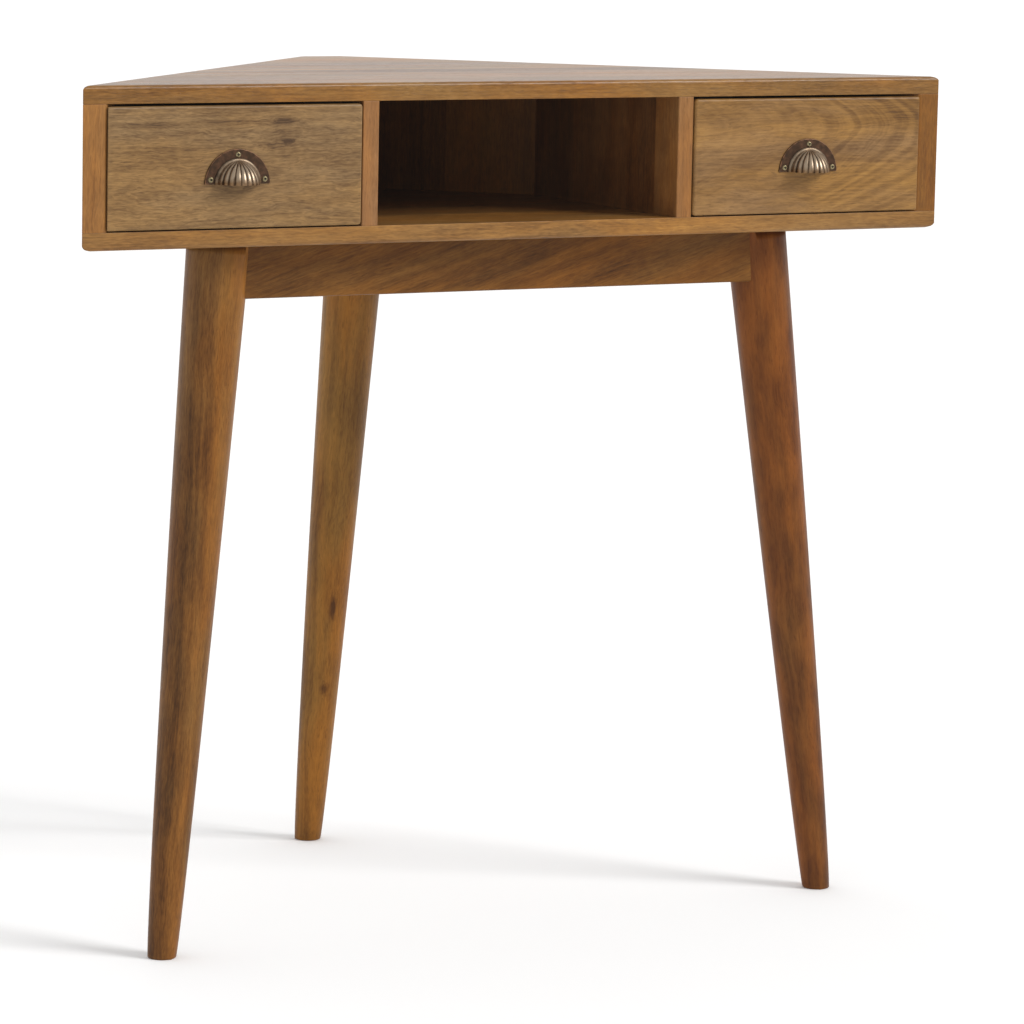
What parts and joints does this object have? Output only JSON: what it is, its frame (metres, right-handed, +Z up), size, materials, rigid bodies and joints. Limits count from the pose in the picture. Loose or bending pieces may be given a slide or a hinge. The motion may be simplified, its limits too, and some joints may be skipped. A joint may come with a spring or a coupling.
{
  "type": "corner desk",
  "caption": "Triangular corner writing desk in mango wood with an open cubby between inset drawers, fluted cup pulls, an apron frame and splayed, turned, tapering legs.",
  "frame": {"origin": "on the floor, under the middle of the whole desk's outline, which reaches from the pulls at the front to the back foot", "axes": "+X along the front edge to the right as seen by someone sitting at the desk, +Y from the front edge into the room corner, +Z up"},
  "size_m": [0.88, 0.4564, 0.774],
  "materials": {
    "top_wood": "satin waxed mango wood, planks running along the front edge",
    "box_wood": "satin waxed mango wood",
    "panel_wood": "satin waxed mango wood, upright grain",
    "left_front_wood": "satin waxed mango wood, fine wavy olive-brown grain",
    "right_front_wood": "satin waxed mango wood, golden arched grain",
    "apron_wood": "satin waxed mango wood, dark slanting grain",
    "leg_wood": "satin waxed mango wood, red-brown, turned",
    "inner_wood": "planed, unfinished",
    "plywood": "plain face veneer",
    "antique_metal": "aged dark bronze, worn bright on the flutes",
    "screw_brass": "aged",
    "zinc_steel": "zinc plated"
  },
  "bodies": {
    "root": {"top_board": "top_wood", "bottom_board": "box_wood", "left_side_panel": "panel_wood", "right_side_panel": "panel_wood", "back_corner_block": "panel_wood", "left_divider": "panel_wood", "right_divider": "panel_wood", "carcass_dowels": "inner_wood", "left_drawer_guide": "inner_wood", "right_drawer_guide": "inner_wood", "left_drawer_stop": "inner_wood", "right_drawer_stop": "inner_wood", "front_left_brace": "inner_wood", "front_right_brace": "inner_wood", "back_brace": "inner_wood", "front_apron": "apron_wood", "left_apron": "apron_wood", "right_apron": "apron_wood", "front_left_leg": "leg_wood", "front_right_leg": "leg_wood", "back_leg": "leg_wood", "leg_bolts": "zinc_steel", "leg_washers": "zinc_steel", "leg_nuts": "zinc_steel", "frame_screws": "zinc_steel"},
    "left_drawer": {"left_drawer_front": "left_front_wood", "left_drawer_inner_side": "inner_wood", "left_drawer_outer_side": "inner_wood", "left_drawer_back": "inner_wood", "left_drawer_bottom": "plywood", "left_pull_cup": "antique_metal", "left_pull_screws": "screw_brass"},
    "right_drawer": {"right_drawer_front": "right_front_wood", "right_drawer_inner_side": "inner_wood", "right_drawer_outer_side": "inner_wood", "right_drawer_back": "inner_wood", "right_drawer_bottom": "plywood", "right_pull_cup": "antique_metal", "right_pull_screws": "screw_brass"}
  },
  "joints": [
    {"name": "left_drawer_slide", "type": "slide", "parent": "root", "child": "left_drawer", "axis": [0, -1, 0], "range_m": [0, 0.125]},
    {"name": "right_drawer_slide", "type": "slide", "parent": "root", "child": "right_drawer", "axis": [0, -1, 0], "range_m": [0, 0.125]}
  ]
}
